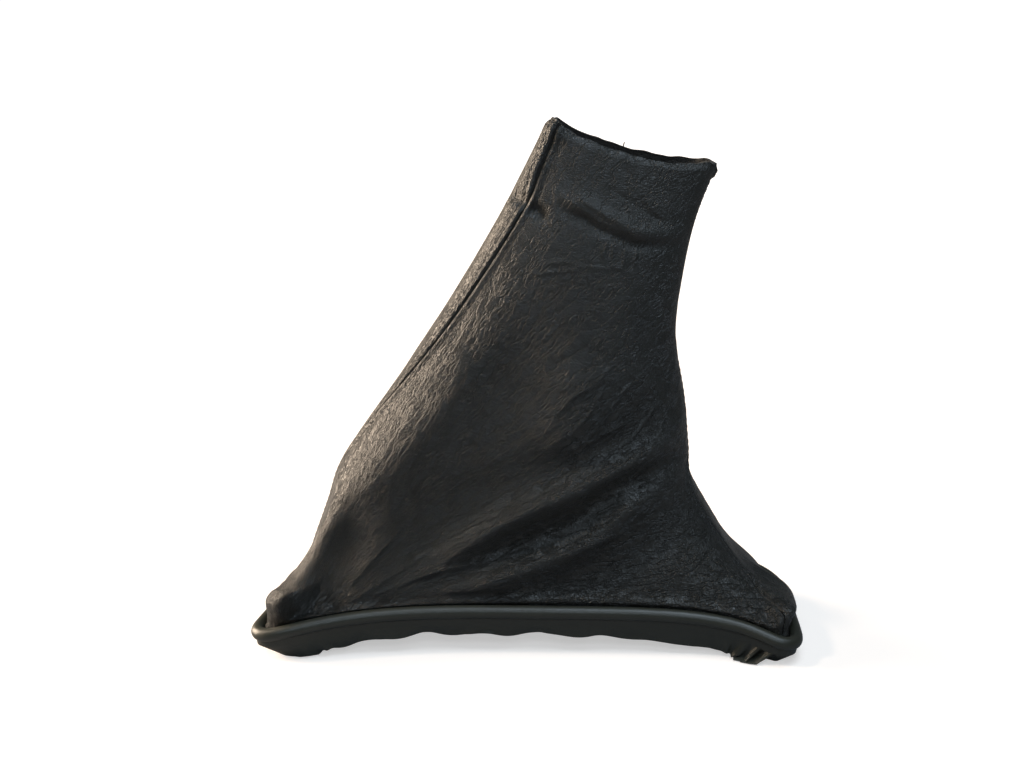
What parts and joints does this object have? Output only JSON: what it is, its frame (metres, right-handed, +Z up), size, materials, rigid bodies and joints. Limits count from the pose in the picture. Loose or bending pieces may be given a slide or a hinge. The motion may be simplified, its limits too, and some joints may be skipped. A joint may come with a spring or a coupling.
{
  "type": "handbrake lever gaiter",
  "caption": "Tapering black leather gaiter for a handbrake lever, open at the neck and base, with a piped hem and a gathered vinyl skirt.",
  "frame": {"origin": "middle of the bounding box on the floor that the gaiter stands on", "axes": "+X along the long side of the base, towards the end that the neck leans to; +Y across the base, towards the left panel; +Z up"},
  "size_m": [0.208, 0.0794, 0.1955],
  "materials": {
    "leather": "black grained leather with a soft sheen",
    "vinyl": "smooth dark olive-black vinyl",
    "cord": "plain twisted filler cord"
  },
  "bodies": {
    "root": {"right_panel": "leather", "left_panel": "leather", "piping_cover": "vinyl", "piping_cord": "cord", "hem_skirt": "vinyl"}
  },
  "joints": []
}
